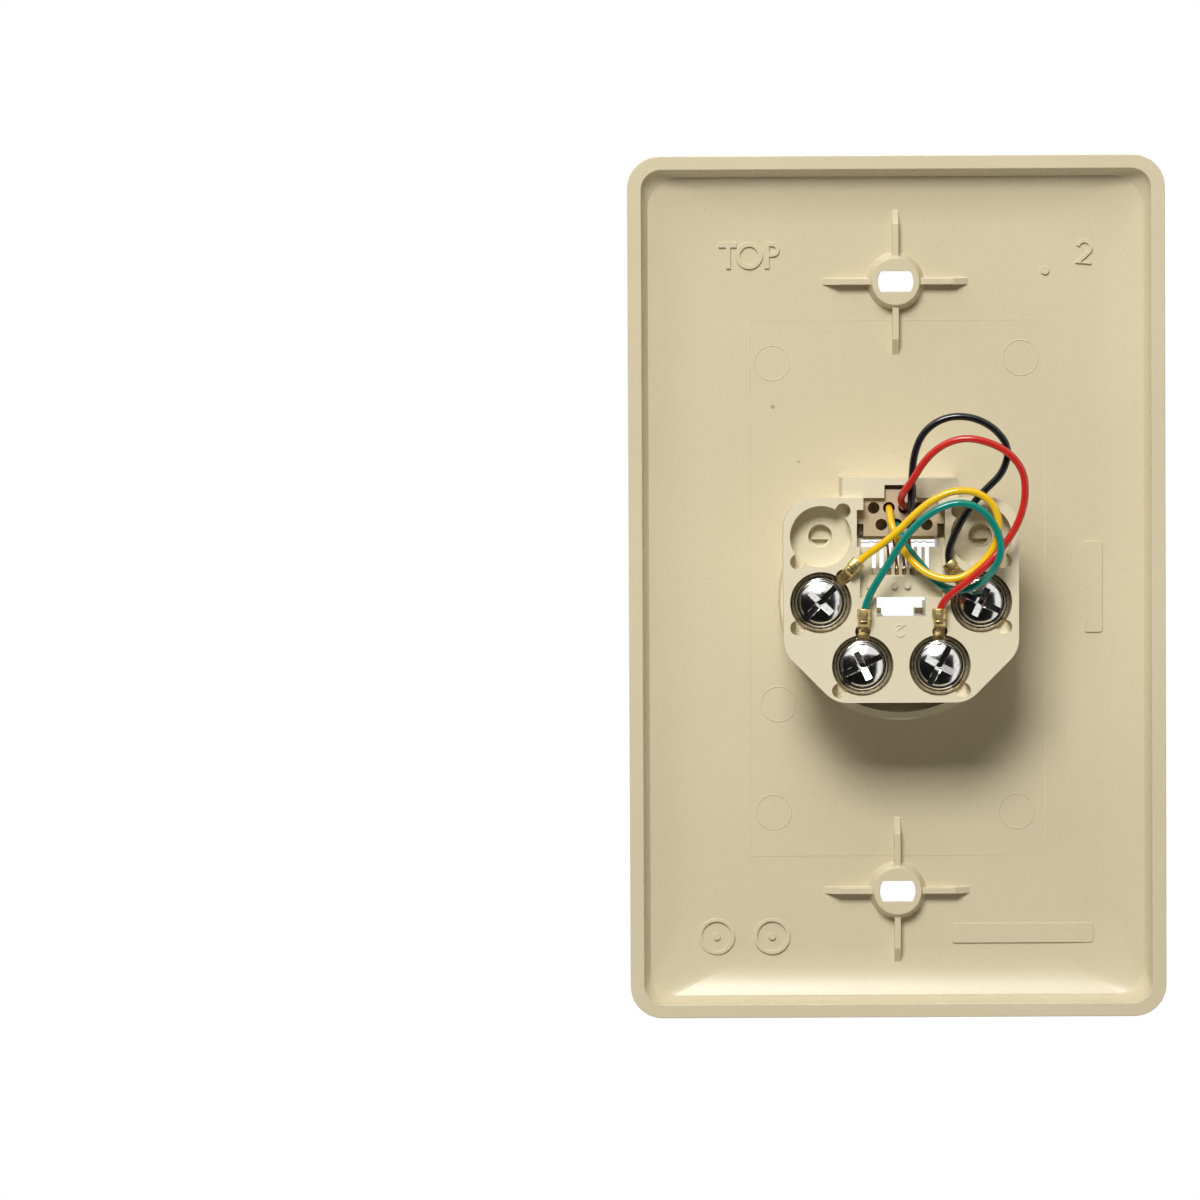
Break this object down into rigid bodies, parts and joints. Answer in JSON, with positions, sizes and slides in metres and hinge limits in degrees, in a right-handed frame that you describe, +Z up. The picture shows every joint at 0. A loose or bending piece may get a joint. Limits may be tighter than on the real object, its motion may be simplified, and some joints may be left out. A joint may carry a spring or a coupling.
{
  "type": "telephone wall socket",
  "caption": "Ivory one-gang telephone wall plate with a modular jack: clipped flange of screw terminals behind, coloured leads looping from the contact carrier to brass lugs.",
  "frame": {"origin": "middle of the plate, in the plane of the wall that the plate's rim rests on", "axes": "+Z up; the plate's front faces -Y; +Y goes into the wall"},
  "size_m": [0.0732, 0.0257, 0.1176],
  "materials": {
    "plate_plastic": "moulded, soft gloss",
    "housing_plastic": "moulded, satin",
    "carrier_plastic": "moulded, satin",
    "contact_metal": "drawn wire, bright",
    "lug_brass": "stamped",
    "screw_nickel": "nickel plated, bright",
    "lead_yellow": "insulation",
    "lead_green": "insulation",
    "lead_red": "insulation",
    "lead_black": "insulation"
  },
  "bodies": {
    "root": {"wall_plate": "plate_plastic", "jack_housing": "housing_plastic", "contact_carrier": "carrier_plastic", "contact_wire_yellow": "contact_metal", "ring_lug_yellow": "lug_brass", "washer_yellow": "screw_nickel", "terminal_screw_yellow": "screw_nickel", "lead_yellow": "lead_yellow", "contact_wire_green": "contact_metal", "ring_lug_green": "lug_brass", "washer_green": "screw_nickel", "terminal_screw_green": "screw_nickel", "lead_green": "lead_green", "contact_wire_red": "contact_metal", "ring_lug_red": "lug_brass", "washer_red": "screw_nickel", "terminal_screw_red": "screw_nickel", "lead_red": "lead_red", "contact_wire_black": "contact_metal", "ring_lug_black": "lug_brass", "washer_black": "screw_nickel", "terminal_screw_black": "screw_nickel", "lead_black": "lead_black"}
  },
  "joints": []
}
